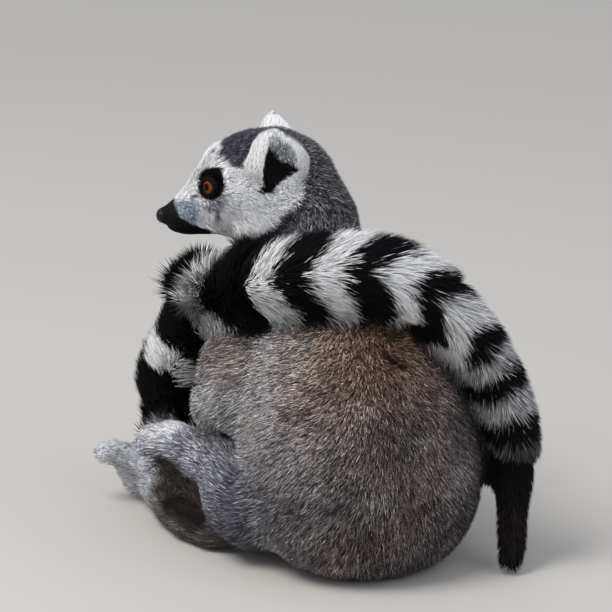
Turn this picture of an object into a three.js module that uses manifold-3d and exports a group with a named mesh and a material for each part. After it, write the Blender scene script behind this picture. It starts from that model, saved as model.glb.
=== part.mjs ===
// A ring-tailed lemur at life size. It sits on its rump with its head turned to its left, and its
// tail comes up between the legs, over both shoulders and down its right side.
// Millimetres, +Z up. The animal faces -Y, its left side is +X, and it rests on the floor at z = 0.
// Every solid is the outline of the coat, out to the tips of the hair.
import * as THREE from "three";
import { mergeVertices } from "three/addons/utils/BufferGeometryUtils.js";
import Module from "manifold-3d";

const wasm = await Module();
wasm.setup();

// Driving dimensions
const GAP = 0.3; // between neighbours
const SHOULDER_HEIGHT = 186;
const SHOULDER_HALF_WIDTH = 46;
const RUMP_HALF_WIDTH = 77;
const RUMP_HALF_DEPTH = 68;
const HEAD_CENTRE = [8, -58, 222]; // middle of the skull, between the ears
const HEAD_YAW = 60; // degrees to the left of the body
const HEAD_ROLL = 8; // crown leaning away from the left side
const SKULL_HALF_WIDTH = 33;
const MUZZLE_HALF_WIDTH = 9;
const NOSE_PLACE = [75, 0, -20.3]; // ahead of, beside and above the head's centre
const NOSE_HALVES = [4.5, 6, 5];
const EYE_RADIUS = 8;
const EYE_PLACE = [42, 13.3, -1.2];
const EYE_OUTWARD = 40; // degrees that each eye looks out from straight ahead
const LID_OPENING = [8, 6.5, 6]; // half sizes of the space in front of the eye
const EAR_HALF_WIDTH = 22;
const THIGH_RADIUS = 17;
const KNEE_RADIUS = 18;
const SHANK_RADIUS = 12;
const FOOT_HALF_WIDTH = 13;
const TOE_RADIUS = 6.5;
const TOE_PITCH = 5.5;
const FINGER_RADIUS = 4;
const FINGER_PITCH = 5.2;
const HANDS_ASIDE = 9; // both hands lie this far to the right of the middle, clear of the tail
const TAIL_RADIUS = 28;
const TAIL_LENGTHS = 5;
const FLOOR_DEPTH = 60;
const FLOOR_WIDTH = 800;

const COLOURS = {
  agouti: 0x7d756e,
  silver: 0x98989c,
  white: 0xd8d8d8,
  black: 0x1c1c20,
  iris: 0xb5541a,
};

const X_AXIS = new THREE.Vector3(1, 0, 0);
const vector = (p) => new THREE.Vector3(...p);
const radians = THREE.MathUtils.degToRad;

// A closed geometry as a solid that can be joined and cut.
function solidOf(geometry) {
  geometry.deleteAttribute("normal");
  geometry.deleteAttribute("uv");
  const merged = mergeVertices(geometry, 1e-3);
  return new wasm.Manifold(
    new wasm.Mesh({
      numProp: 3,
      vertProperties: merged.attributes.position.array,
      triVerts: new Uint32Array(merged.index.array),
    }),
  );
}

function geometryOf(solid) {
  const mesh = solid.getMesh();
  return new THREE.BufferGeometry()
    .setAttribute("position", new THREE.BufferAttribute(mesh.vertProperties, 3))
    .setIndex(new THREE.BufferAttribute(mesh.triVerts, 1));
}

const join = (...solids) => solids.reduce((all, one) => all.add(one));

// What is left of a solid once its neighbours are cut away: the largest single body.
function cut(solid, ...tools) {
  const bodies = tools.reduce((rest, tool) => rest.subtract(tool), solid).decompose();
  return bodies.reduce((best, body) => (body.volume() > best.volume() ? body : best));
}

// Moves a round geometry's points to a limb: oval sections along a smooth curve through the
// stations. A station is [x, y, z, half width, half depth]. The width lies across the curve,
// along the side axis. The limb may be only the stretch from one share of the curve to another,
// and its ends are rounded off over the cap's share of the whole curve.
function drawOut(geometry, stations, { side, cap, grow = 0, stretch = [0, 1], move = null }) {
  const path = new THREE.CatmullRomCurve3(stations.map((s) => vector(s.slice(0, 3))));
  const sizes = new THREE.CatmullRomCurve3(
    stations.map((s) => new THREE.Vector3(s[3], s[4] ?? s[3], 0)),
  );
  const position = geometry.getAttribute("position");
  const depth = new THREE.Vector3();
  const across = new THREE.Vector3();
  for (let i = 0; i < position.count; i++) {
    const share = THREE.MathUtils.clamp((1 - position.getY(i)) / 2, 0, 1);
    const t = THREE.MathUtils.lerp(...stretch, share);
    const ring = Math.hypot(position.getX(i), position.getZ(i));
    const unit = ring > 1e-6 ? 1 / ring : 0;
    const inset = 1 - Math.min(1, Math.min(t, 1 - t) / cap);
    const round = Math.sqrt(1 - inset ** 2);
    const along = path.getTangent(t);
    const size = sizes.getPoint(t);
    depth.crossVectors(side, along).normalize();
    across.crossVectors(along, depth);
    const p = path.getPoint(t);
    p.addScaledVector(across, position.getX(i) * unit * (size.x + grow) * round);
    p.addScaledVector(depth, -position.getZ(i) * unit * (size.y + grow) * round);
    const endward = share === 0 || share === 1 ? 1 : 1 - round;
    p.addScaledVector(along, grow * Math.sign(share - 0.5) * endward);
    if (move) p.applyMatrix4(move);
    position.setXYZ(i, p.x, p.y, p.z);
  }
  return solidOf(geometry);
}

// A limb with two round ends.
function limb(stations, { around = 12, rows = 10, side = X_AXIS, cap = 0.2, ...rest } = {}) {
  return drawOut(new THREE.SphereGeometry(1, around, rows), stations, { side, cap, ...rest });
}

// An ellipsoid with its own half axes, turned about the upright axis of its frame.
function ball(at, halves, { turn = 0, around = 12, rows = 8, grow = 0, move }) {
  const geometry = new THREE.SphereGeometry(1, around, rows);
  geometry.scale(...halves.map((half) => half + grow));
  geometry.rotateZ(radians(turn)).translate(...at).applyMatrix4(move);
  return solidOf(geometry);
}

// The same stations on the left side (1) or the right side (-1).
const mirrored = (stations, s) => stations.map(([x, ...rest]) => [s * x, ...rest]);

// The head's own frame: x ahead to the nose, y to the head's left, z to the crown.
const headFrame = new THREE.Matrix4()
  .makeRotationFromEuler(new THREE.Euler(radians(HEAD_ROLL), 0, radians(HEAD_YAW - 90), "ZYX"))
  .setPosition(vector(HEAD_CENTRE));
const HEAD_SIDE = new THREE.Vector3(0, 1, 0);
const inHead = (s, [ahead, beside, above, ...sizes]) => [ahead, s * beside, above, ...sizes];

const SKULL = [
  [-37, 0, -20, 15, 12],
  [-28, 0, -14, 25, 18],
  [-14, 0, -8, 31, 33],
  [6, 0, -4, SKULL_HALF_WIDTH, 40],
  [26, 0, -5.5, 31, 37.5],
  [42, 0, -12, 21, 26.5],
  [53, 0, -17, 13, 18],
  [61, 0, -20.4, 10.5, 14],
  [70, 0, -22.2, MUZZLE_HALF_WIDTH, 10],
  [77, 0, -22.8, 6, 6],
];
const CHEEK = [
  [-14, 14, -18, 17, 18],
  [12, 16, -24, 18, 19],
  [38, 8, -25, 11, 12],
];
const EAR = [
  [8, 19, -10, 12, 7],
  [6, 24, 3, 20, 9],
  [5, 29, 16, EAR_HALF_WIDTH, 10],
  [8, 33, 27, 15, 8],
  [10.5, 35.5, 37.5, 7.5, 5.5],
];
const EAR_BOWL = [
  [3, 34, -6, 6, 5],
  [2, 38, 6, 10, 9],
  [4, 42, 20, 10, 9],
  [7, 42, 26, 5, 5],
];

function head(grow = 0) {
  const options = { side: HEAD_SIDE, move: headFrame, grow };
  const skull = limb(SKULL, { ...options, around: 20, rows: 18, cap: 0.14 });
  const cheeks = [1, -1].map((s) =>
    limb(CHEEK.map((station) => inHead(s, station)), { ...options, around: 10, rows: 8, cap: 0.35 }),
  );
  return join(skull, ...cheeks);
}

function eye(s, grow = 0) {
  const halves = [EYE_RADIUS, EYE_RADIUS, EYE_RADIUS];
  return ball(inHead(s, EYE_PLACE), halves, { grow, move: headFrame });
}

// The opening between the lids, in front of the eye.
function lidOpening(s) {
  const [ahead, beside, above] = EYE_PLACE;
  const out = EYE_RADIUS * 1.2;
  const angle = radians(EYE_OUTWARD);
  const at = [ahead + out * Math.cos(angle), s * (beside + out * Math.sin(angle)), above];
  return ball(at, LID_OPENING, { turn: s * EYE_OUTWARD, move: headFrame });
}

function nosePad(grow = 0) {
  return ball(NOSE_PLACE, NOSE_HALVES, { around: 12, rows: 8, grow, move: headFrame });
}

// A cupped ear that opens to the side. The right one is turned further back, and shows narrower.
function ear(s) {
  const options = { side: X_AXIS, move: headFrame };
  const [share, back] = s > 0 ? [1, 0] : [0.7, 1];
  const stations = EAR.map(([ahead, beside, above, wide, deep]) =>
    inHead(s, [ahead - back, beside, above, wide * share, deep]),
  );
  const shell = limb(stations, { ...options, around: 14, rows: 10 });
  const bowl = limb(EAR_BOWL.map((station) => inHead(s, station)), { ...options, around: 10, rows: 6, cap: 0.3 });
  return cut(shell, bowl, head(GAP));
}

const NECK = [
  [0, -30, 160, 34, 34],
  [1, -46, 188, 35, 38],
  [0, -48, 206, 33, 37],
  [4, -54, 226, 24, 27],
];
const neck = (grow = 0) => limb(NECK, { around: 16, rows: 8, grow });

const TRUNK = [
  [0, 26, -8, 40, 34],
  [0, 27, 10, 60, 53],
  [0, 28, 29, 71, 62],
  [0, 28, 56, RUMP_HALF_WIDTH, RUMP_HALF_DEPTH],
  [0, 23, 86, 76, 67],
  [0, 12, 112, 69, 62],
  [0, -4, 140, 58, 57],
  [0, -24, 164, SHOULDER_HALF_WIDTH, 46],
  [0, -44, SHOULDER_HEIGHT, 36, 34],
];
const trunk = (grow = 0) => limb(TRUNK, { around: 22, rows: 16, cap: 0.12, grow });

// The tail's middle line, from its root under the rump to its tip, with its radius.
const TAIL = [
  [0, 20, 14, 13],
  [4, -22, 14, 15],
  [14, -66, 15, 18],
  [28, -116, 23, 21],
  [40, -146, 42, 22],
  [44, -146, 72, 24],
  [43, -122, 104, 26],
  [45, -93, 134, 27],
  [50, -52, 158, TAIL_RADIUS],
  [47, -15, 175, TAIL_RADIUS],
  [37, 11, 185, TAIL_RADIUS],
  [20, 30, 190, TAIL_RADIUS],
  [0, 46, 190, 27],
  [-20, 60, 181, 24.5],
  [-38, 67, 163, 22],
  [-54, 73, 141, 20],
  [-67, 78, 114, 19],
  [-75, 80, 86, 18],
  [-75, 80, 65, 16.5],
  [-72, 82, 46, 13],
  [-69, 87, 26, 12],
  [-66, 91, 11, 12],
  [-59, 98, 4, 8],
];
const TAIL_SIDE = new THREE.Vector3(0.6, 0.35, 0.1);
const TAIL_CAP = 0.025;

// One of the tail's lengths, flat where it meets the next.
function tailLength(index, grow = 0) {
  const stretch = [index / TAIL_LENGTHS, (index + 1) / TAIL_LENGTHS];
  const tube = new THREE.CylinderGeometry(1, 1, 2, 11, 9);
  return drawOut(tube, TAIL, { side: TAIL_SIDE, cap: TAIL_CAP, stretch, grow });
}
const tailSpace = join(...Array.from({ length: TAIL_LENGTHS }, (_, index) => tailLength(index, GAP)));

const THIGH = [
  [48, 16, 33, 42, 33],
  [55, -14, 36, 35, 35],
  [52, -58, 41, 20, 21],
  [53, -96, 42, THIGH_RADIUS, 16],
  [56, -124, 39, KNEE_RADIUS, 17],
  [61, -153, 33, 16, 19],
];
const SHANK = [
  [64, -151, 26, 14, 18],
  [59, -112, 26, SHANK_RADIUS, 12],
  [59, -70, 25, SHANK_RADIUS, 12],
  [57, -30, 18, 11, 11],
];
const FOOT = [
  [64, -14, 10, 11, 10],
  [75, -50, 11, FOOT_HALF_WIDTH, 12],
  [73, -84, 11, FOOT_HALF_WIDTH, 12],
  [66, -118, 14, FOOT_HALF_WIDTH, 12],
  [70, -136, 17, 9, 11],
];
const GREAT_TOE = [
  [66, -112, 22, 9, 11],
  [80, -136, 34, 9, 11],
  [97, -150, 31, 8, 9],
];
const toe = (k) => [
  [66 + k, -127 - 2 * k, 9 + 4 * k, TOE_RADIUS, TOE_RADIUS],
  [70 + 2 * k, -140 - k, 7 + TOE_PITCH * 0.95 * k, TOE_RADIUS, TOE_RADIUS],
  [72 + 3 * k, -150 - 0.5 * k, 5 + TOE_PITCH * k, 5, 5],
];

const thigh = (s, grow = 0) => limb(mirrored(THIGH, s), { rows: 9, grow });
function foot(s, grow = 0) {
  const digit = { around: 6, rows: 5, grow };
  const toes = [0, 1, 2, 3].map((k) => limb(mirrored(toe(k), s), digit));
  const greatToe = limb(mirrored(GREAT_TOE, s), digit);
  return join(limb(mirrored(FOOT, s), { around: 10, rows: 8, grow }), ...toes, greatToe);
}

const UPPER_ARM = [
  [36, -36, 156, 24, 26],
  [46, -34, 128, 29, 36],
  [50, -33, 100, 31, 43],
  [51, -42, 76, 27, 35],
];
const FOREARM = [
  [54, -60, 88, 17, 19],
  [47, -84, 72, 16, 19],
  [26, -100, 54, 12, 12],
  [16, -112, 38, 10, 10],
];
const PALM = [
  [16, -113, 34, 8, 8],
  [13, -124, 22, 9, 8],
  [13, -138, 7, 10, 8],
  [13, -146, 5, 9, 6],
];
const finger = (k) => [
  [13 + (k - 1.5) * FINGER_PITCH * 0.9, -138, 6, FINGER_RADIUS, FINGER_RADIUS],
  [13 + (k - 1.5) * FINGER_PITCH, -154, 4, FINGER_RADIUS, FINGER_RADIUS],
  [13 + (k - 1.5) * FINGER_PITCH, -166, 2.5, 3, 3],
];

const upperArm = (s, grow = 0) => limb(mirrored(UPPER_ARM, s), { around: 10, rows: 8, grow });
// Stations carried to the right of the middle, by a growing share of the hands' own offset.
const aside = (stations, from, to) =>
  stations.map(([x, ...rest], k, { length }) => {
    const share = THREE.MathUtils.lerp(from, to, k / (length - 1));
    return [x - HANDS_ASIDE * share, ...rest];
  });
const forearmLine = (s) => aside(mirrored(FOREARM, s), 0, 1);
const forearm = (s, grow = 0) => limb(forearmLine(s), { around: 10, rows: 8, grow });
function hand(s) {
  const digit = (k) => limb(aside(mirrored(finger(k), s), 1, 1), { around: 6, rows: 5 });
  return join(limb(aside(mirrored(PALM, s), 1, 1), { around: 8, rows: 6 }), ...[0, 1, 2, 3].map(digit));
}

const floor = solidOf(
  new THREE.BoxGeometry(FLOOR_WIDTH, FLOOR_WIDTH, FLOOR_DEPTH).translate(0, 0, -FLOOR_DEPTH / 2),
);

const body = new THREE.Group();

// Adds a node: its solid cut level at the floor, its mesh placed at the part's own joint.
function addNode(name, solid, colour, joint) {
  const geometry = geometryOf(cut(solid, floor)).translate(...joint.map((value) => -value));
  const material = new THREE.MeshStandardMaterial({
    color: COLOURS[colour],
    roughness: colour === "iris" ? 0.1 : 0.9,
    metalness: 0,
  });
  const mesh = new THREE.Mesh(geometry, material);
  mesh.name = name;
  mesh.position.set(...joint);
  body.add(mesh);
}

const root = (stations, s = 1) => mirrored(stations, s)[0].slice(0, 3);
const eyesGrown = [eye(1, GAP), eye(-1, GAP)];
const lids = [lidOpening(1), lidOpening(-1)];

addNode("head", cut(head(), ...eyesGrown, ...lids, nosePad(GAP), tailSpace), "white", HEAD_CENTRE);
addNode("nose", nosePad(), "black", HEAD_CENTRE);
addNode("neck", cut(neck(), head(GAP), tailSpace), "agouti", root(NECK));
addNode("trunk", cut(trunk(), neck(GAP), head(GAP), tailSpace), "agouti", root(TRUNK));
for (let index = 0; index < TAIL_LENGTHS; index++) {
  const before = index > 0 ? [tailLength(index - 1, GAP)] : [];
  addNode("tail_" + (index + 1), cut(tailLength(index), ...before), "black", root(TAIL));
}
for (const [side, s] of [["left", 1], ["right", -1]]) {
  const middle = [trunk(GAP), neck(GAP), head(GAP), tailSpace];
  addNode("eye_" + side, eye(s), "iris", HEAD_CENTRE);
  addNode("ear_" + side, ear(s), "white", HEAD_CENTRE);
  addNode("thigh_" + side, cut(thigh(s), ...middle), "silver", root(THIGH, s));
  addNode("foot_" + side, cut(foot(s), ...middle, thigh(s, GAP)), "white", root(FOOT, s));
  addNode("shank_" + side, cut(limb(mirrored(SHANK, s), { around: 10, rows: 8 }), ...middle, thigh(s, GAP), foot(s, GAP)),
    "silver", root(SHANK, s));
  addNode("upper_arm_" + side, cut(upperArm(s), ...middle), "silver", root(UPPER_ARM, s));
  addNode("forearm_" + side, cut(forearm(s), ...middle, upperArm(s, GAP), thigh(s, GAP)),
    "silver", root(FOREARM, s));
  addNode("hand_" + side, cut(hand(s), ...middle, forearm(s, GAP)), "white", root(PALM, s));
}

// The origin lies on the floor, under the middle of the whole animal's box.
const centre = new THREE.Box3().setFromObject(body).getCenter(new THREE.Vector3());
body.position.set(-centre.x, -centre.y, 0);
const lemur = new THREE.Group();
lemur.add(body);

export default lemur;
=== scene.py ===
"""A ring-tailed lemur at life size, sitting with its tail over its shoulders.

Sizes are in millimetres until a mesh is written, and in metres from there on.
"""

import math

import bmesh
import bpy
import numpy as np
from mathutils import Matrix, Vector
from mathutils.bvhtree import BVHTree
from mathutils.kdtree import KDTree


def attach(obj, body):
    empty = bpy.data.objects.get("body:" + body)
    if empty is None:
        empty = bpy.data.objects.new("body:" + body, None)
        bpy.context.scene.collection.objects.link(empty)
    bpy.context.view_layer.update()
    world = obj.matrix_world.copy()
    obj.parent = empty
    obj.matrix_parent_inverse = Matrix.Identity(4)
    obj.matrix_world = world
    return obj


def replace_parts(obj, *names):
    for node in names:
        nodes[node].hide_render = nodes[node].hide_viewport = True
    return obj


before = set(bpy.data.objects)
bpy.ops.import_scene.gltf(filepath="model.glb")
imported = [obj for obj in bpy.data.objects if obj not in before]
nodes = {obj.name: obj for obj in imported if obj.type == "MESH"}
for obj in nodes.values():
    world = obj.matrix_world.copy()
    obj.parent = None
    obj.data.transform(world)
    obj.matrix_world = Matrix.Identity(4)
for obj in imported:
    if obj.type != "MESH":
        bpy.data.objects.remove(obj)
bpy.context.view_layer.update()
random = np.random.default_rng(7)

MM = 0.001
MIDDLE = np.array([0.0, 34.2, 0.0])  # the stations' origin in the frame
VOXEL = 2.25  # the size of the skin's mesh
FINER = ((30, 15), (56, 11))  # made finer beyond each place ahead, and within each reach of an eye
GROWTH = 0.35  # how much each solid grows, so that they meet across their gaps
PATCH = 0.003  # size of a tuft's patch on the baking map

FLESH = ["head", "neck", "trunk", "tail_1", "tail_2", "tail_3", "tail_4", "tail_5"]
PAIRS = ["ear", "thigh", "shank", "foot", "upper_arm", "forearm", "hand"]
FLESH += [f"{name}_{side}" for name in PAIRS for side in ("left", "right")]

# -------------------- body plan

# The head's own frame has x ahead, y to its left and z up through its crown.
HEAD_CENTRE = np.array([8.0, -58.0, 222.0]) + MIDDLE
HEAD_YAW, HEAD_ROLL = 60, 8
EYE_PLACE = np.array([42.0, 13.3, -1.2])
EYE_RADIUS = 8.0
EYE_OUTWARD = 40

# Middle lines as stations (x, y, z), with the radius out to the tips of the coat where it is needed.
TAIL = [
    (0, 20, 14, 13), (4, -22, 14, 15), (14, -66, 15, 18), (28, -116, 23, 21),
    (40, -146, 42, 22), (44, -146, 72, 24), (43, -122, 104, 26), (45, -93, 134, 27),
    (50, -52, 158, 28), (47, -15, 175, 28), (37, 11, 185, 28), (20, 30, 190, 28),
    (0, 46, 190, 27), (-20, 60, 181, 24.5), (-38, 67, 163, 22), (-54, 73, 141, 20),
    (-67, 78, 114, 19), (-75, 80, 86, 18), (-75, 80, 65, 16.5), (-72, 82, 46, 13),
    (-69, 87, 26, 12), (-66, 91, 11, 12), (-59, 98, 4, 8),
]
LEG = [(48, 16, 33), (55, -14, 36), (52, -58, 41), (53, -96, 42), (56, -124, 39), (61, -153, 33)]
SHANK = [(64, -151, 26), (59, -112, 26), (59, -70, 25), (57, -30, 18)]
FOOT = [(64, -14, 10), (75, -50, 11), (73, -84, 11), (66, -118, 14), (76, -140, 20), (92, -152, 24)]
UPPER_ARM = [(36, -36, 156), (46, -34, 128), (50, -33, 100), (51, -42, 76)]
FOREARM = [(54, -60, 88), (47, -84, 72), (26, -100, 54), (7, -112, 38)]
EAR_BOWL = [(3, 34, -6, 6), (2, 38, 6, 10), (4, 42, 20, 10), (7, 42, 26, 5)]


def smooth_path(stations, steps=12):
    """Points along a Catmull-Rom curve through the stations, with all their columns."""
    p = np.array(stations, float)
    p = np.vstack([2 * p[0] - p[1], p, 2 * p[-1] - p[-2]])
    t = np.linspace(0, 1, steps, endpoint=False)[:, None]
    parts = []
    for a, b, c, d in zip(p, p[1:], p[2:], p[3:]):
        bend = (2 * a - 5 * b + 4 * c - d) * t**2 + (3 * b - a - 3 * c + d) * t**3
        parts.append(0.5 * (2 * b + (c - a) * t + bend))
    return np.vstack(parts + [p[-2:-1]])


def unit(v):
    return v / np.maximum(np.linalg.norm(v, axis=-1, keepdims=True), 1e-9)


class Course:
    """A limb's middle line, which gives the nearest place on it and the way along it."""

    def __init__(self, stations, shift=MIDDLE, flip=1):
        path = smooth_path(stations)
        path[:, 0] *= flip
        self.at = path[:, :3] + shift
        self.size = path[:, 3] if path.shape[1] > 3 else None
        self.way = unit(np.gradient(self.at, axis=0))
        self.run = np.r_[0, np.cumsum(np.linalg.norm(np.diff(self.at, axis=0), axis=1))]

    def nearest(self, p):
        found = np.empty(len(p), int)
        for k in range(0, len(p), 20000):
            gap = ((p[k : k + 20000, None, :] - self.at[None]) ** 2).sum(axis=2)
            found[k : k + 20000] = gap.argmin(axis=1)
        return found


def turn(axis, degrees):
    return np.array(Matrix.Rotation(math.radians(degrees), 3, axis))


HEAD_TURN = turn("Z", HEAD_YAW - 90) @ turn("X", HEAD_ROLL)


def to_head(p):
    return (p - HEAD_CENTRE) @ HEAD_TURN


def from_head(p):
    return np.asarray(p, float) @ HEAD_TURN.T + HEAD_CENTRE


def way_from_head(v):
    return np.asarray(v, float) @ HEAD_TURN.T


RISE = 0.165  # how much the head's markings climb for each millimetre out to its side


def profile(head_place):
    """Places in the head's frame as seen from its side, as ahead and above."""
    x, y, z = head_place.T
    return x, z - RISE * np.abs(y)


# -------------------- small tools

WAVES = random.normal(size=(14, 3))
PHASES = random.uniform(0, 6.28, 14)


def ripple(p, size, shift=0.0):
    """A smooth field of about -1 to 1 that changes over the given size."""
    angle = (p / size) @ WAVES.T * 1.3 + PHASES + shift
    return np.sin(angle).sum(axis=1) / 4.5


def ease(value, low, high):
    t = np.clip((value - low) / (high - low), 0, 1)
    return t * t * (3 - 2 * t)


def blend(base, over, share):
    share = np.asarray(share)[:, None]
    return base * (1 - share) + np.asarray(over, float) * share


def plain(colour, p):
    """One colour for all the points."""
    return np.tile(np.array(colour, float), (len(p), 1))


def linear(rgb):
    """Linear colour from everyday 0-255 values."""
    c = np.asarray(rgb, float) / 255
    return np.where(c <= 0.04045, c / 12.92, ((c + 0.055) / 1.055) ** 2.4)


def capsule(x, z, start, end, radius):
    """How far points lie outside a rounded bar on the side of the head."""
    a, b = np.array(start, float), np.array(end, float)
    d = b - a
    px, pz = x - a[0], z - a[1]
    t = np.clip((px * d[0] + pz * d[1]) / max(d @ d, 1e-9), 0, 1)
    return np.hypot(px - t * d[0], pz - t * d[1]) - radius


def oval(x, z, centre, halves):
    """How far points lie outside an oval on the side of the head, roughly."""
    reach = np.hypot((x - centre[0]) / halves[0], (z - centre[1]) / halves[1])
    return (reach - 1) * min(halves)


def polygon(x, z, corners):
    """How far points lie outside a polygon on the side of the head, less than zero inside it."""
    p = np.stack([x, z], axis=1)
    gap = np.full(len(p), np.inf)
    within = np.zeros(len(p), bool)
    for a, b in zip(np.array(corners, float), np.roll(corners, -1, axis=0)):
        edge, reach = b - a, p - a
        t = np.clip(reach @ edge / (edge @ edge), 0, 1)
        gap = np.minimum(gap, np.linalg.norm(reach - t[:, None] * edge, axis=1))
        crosses = (a[1] > z) != (b[1] > z)
        slant = edge[0] / (edge[1] if edge[1] else 1e-9)
        within ^= crosses & (x < a[0] + slant * (z - a[1]))
    return np.where(within, -gap, gap)


# -------------------- skin


def flesh_copy():
    """The outline's solids as one mesh, each grown a little so that they meet."""
    whole = bmesh.new()
    for name in FLESH + ["eye_left", "eye_right", "nose"]:
        one = bmesh.new()
        one.from_mesh(nodes[name].data)
        bmesh.ops.remove_doubles(one, verts=one.verts, dist=1e-5)
        one.normal_update()
        for v in one.verts:
            v.co += v.normal * GROWTH * MM
        mesh = bpy.data.meshes.new("one")
        one.to_mesh(mesh)
        one.free()
        whole.from_mesh(mesh)
        bpy.data.meshes.remove(mesh)
    return whole


def outline_tree():
    """A search tree over the solids' faces, with the node that each face belongs to."""
    points, faces, owner = [], [], []
    for index, name in enumerate(FLESH):
        mesh = nodes[name].data
        base = len(points)
        points += [v.co / MM for v in mesh.vertices]
        faces += [[base + i for i in f.vertices] for f in mesh.polygons]
        owner += [index] * len(mesh.polygons)
    return BVHTree.FromPolygons(points, faces), np.array(owner)


def remeshed(bm):
    """The copy as one closed surface, finer on the front of the head."""
    mesh = bpy.data.meshes.new("skin")
    bm.to_mesh(mesh)
    bm.free()
    obj = bpy.data.objects.new("skin", mesh)
    bpy.context.scene.collection.objects.link(obj)
    remesh = obj.modifiers.new("remesh", "REMESH")
    remesh.mode = "VOXEL"
    remesh.voxel_size = VOXEL * MM
    graph = bpy.context.evaluated_depsgraph_get()
    done = bpy.data.meshes.new_from_object(obj.evaluated_get(graph))
    bpy.data.objects.remove(obj)
    bm = bmesh.new()
    bm.from_mesh(done)
    bpy.data.meshes.remove(done)
    eye = np.array([EYE_PLACE, EYE_PLACE * (1, -1, 1)])
    for ahead, reach in FINER:
        at = to_head(np.array([(e.verts[0].co + e.verts[1].co) / 2 for e in bm.edges]) / MM)
        near_eye = np.minimum(*[np.linalg.norm(at - e, axis=1) for e in eye]) < reach
        pick = ((at[:, 0] > ahead) | near_eye) & (np.abs(at[:, 1]) < 30) & (at[:, 2] < 60)
        pick &= np.linalg.norm(at, axis=1) < 100
        edges = [e for e, p in zip(bm.edges, pick) if p]
        bmesh.ops.subdivide_edges(bm, edges=edges, cuts=1, use_grid_fill=True)
    bmesh.ops.triangulate(bm, faces=[f for f in bm.faces if len(f.verts) > 4])
    return bm


class Surface:
    """The skin as arrays, for the sums that a mesh is too slow for."""

    def __init__(self, bm):
        bm.verts.index_update()
        self.p = np.array([v.co for v in bm.verts]) / MM
        self.edges = np.array([[v.index for v in e.verts] for e in bm.edges])
        tris = []
        for f in bm.faces:
            i = [v.index for v in f.verts]
            tris.append(i[:3])
            if len(i) == 4:
                tris.append([i[0], i[2], i[3]])
        self.tris = np.array(tris)
        self.both = np.vstack([self.edges, self.edges[:, ::-1]])
        self.valence = np.bincount(self.both[:, 0], minlength=len(self.p))

    def relax(self, values, rounds, share=0.5):
        """The values after each has moved towards its neighbours' mean by the share, round by round."""
        values = np.array(values, float)
        flat = values.reshape(len(self.p), -1)
        share = np.broadcast_to(np.asarray(share, float), (len(self.p),))[:, None]
        for _ in range(rounds):
            sums = [
                np.bincount(self.both[:, 0], weights=flat[self.both[:, 1], column], minlength=len(flat))
                for column in range(flat.shape[1])
            ]
            mean = np.stack(sums, axis=1) / self.valence[:, None]
            flat = flat * (1 - share) + mean * share
        return flat.reshape(values.shape)

    def normals(self):
        a, b, c = (self.p[self.tris[:, k]] for k in range(3))
        n = np.cross(b - a, c - a)
        out = np.zeros_like(self.p)
        for k in range(3):
            for axis in range(3):
                out[:, axis] += np.bincount(self.tris[:, k], weights=n[:, axis], minlength=len(out))
        return unit(out)


skin_bm = remeshed(flesh_copy())
skin = Surface(skin_bm)
tree, owner = outline_tree()
label = np.array([owner[tree.find_nearest(Vector(p))[2]] for p in skin.p])


def part_of(part):
    """Where the skin belongs to a part of the body, on both sides and along its length."""
    return np.isin(label, [i for i, name in enumerate(FLESH) if name.startswith(part)])


IS_TAIL = part_of("tail")
IS_HEAD, IS_NECK, IS_TRUNK = part_of("head"), part_of("neck"), part_of("trunk")
IS_EAR, IS_FOOT, IS_HAND = part_of("ear"), part_of("foot"), part_of("hand")
IS_THIGH, IS_SHANK = part_of("thigh"), part_of("shank")
IS_ARM, IS_FOREARM = part_of("upper_arm"), part_of("forearm")

tail = Course(TAIL)
tail_at = tail.nearest(skin.p)
head_at = to_head(skin.p)

# The flat facets of the solids are rounded away, but not where two parts meet. The trunk, though,
# flows into the head, the arms and the thighs.
TORSO = IS_TRUNK | IS_NECK
FLOWING = TORSO | IS_HEAD | IS_ARM | IS_THIGH
first_end, last_end = skin.edges.T
border = label[first_end] != label[last_end]
flows = border & ((TORSO[first_end] & FLOWING[last_end]) | (TORSO[last_end] & FLOWING[first_end]))
meeting, seam = np.zeros((2, len(skin.p)))
meeting[skin.edges[border & ~flows].ravel()] = 1
seam[skin.edges[flows].ravel()] = 1
meeting = np.clip(skin.relax(meeting, 4) * 3, 0, 1)
seam = np.clip(skin.relax(seam, 40) * 9, 0, 1)
rounding = np.select([IS_TRUNK | IS_NECK | IS_TAIL, IS_THIGH | IS_ARM | IS_SHANK], [0.5, 0.25], 0.04)
rounding[IS_HEAD] = np.interp(head_at[IS_HEAD, 0], [25, 35], [0.14, 0.3])
rounding[IS_EAR] = 0.08
rounding *= 1 - 0.85 * meeting
skin.p = skin.relax(skin.p, 50, rounding)
skin.p = skin.relax(skin.p, 90, 0.6 * seam * (1 - 0.9 * meeting))
meeting = np.clip(skin.relax(meeting, 12) * 1.5, 0, 1)

# How far the skin lies under the tips of the coat.
depth = np.full(len(skin.p), 5.8)
depth[IS_NECK] = 5
depth[IS_TAIL] = tail.size[tail_at[IS_TAIL]] * 0.5
HEAD_DEPTH_AT, HEAD_DEPTH = [-30, -5, 20, 38, 52, 62, 70], [6, 5, 4.5, 3.2, 2.2, 0.7, 0.3]
depth[IS_HEAD] = np.interp(head_at[IS_HEAD, 0], HEAD_DEPTH_AT, HEAD_DEPTH)
depth[IS_HEAD & (head_at[:, 0] > 44) & (head_at[:, 2] < -26)] = 0.7  # under the jaw
depth[IS_EAR] = 1.3
depth[IS_THIGH], depth[IS_SHANK] = 3.8, 3.5
depth -= 1.5 * (IS_THIGH | IS_SHANK) * ease(MIDDLE[1] - skin.p[:, 1], 95, 120)  # over the knee
depth[IS_FOOT] = 2.2
depth[IS_ARM], depth[IS_FOREARM], depth[IS_HAND] = 4.5, 3.2, 1.0
depth = skin.relax(depth, 10)
eye_gap = np.min([np.linalg.norm(head_at - EYE_PLACE * (1, s, 1), axis=1) for s in (1, -1)], axis=0)
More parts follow.
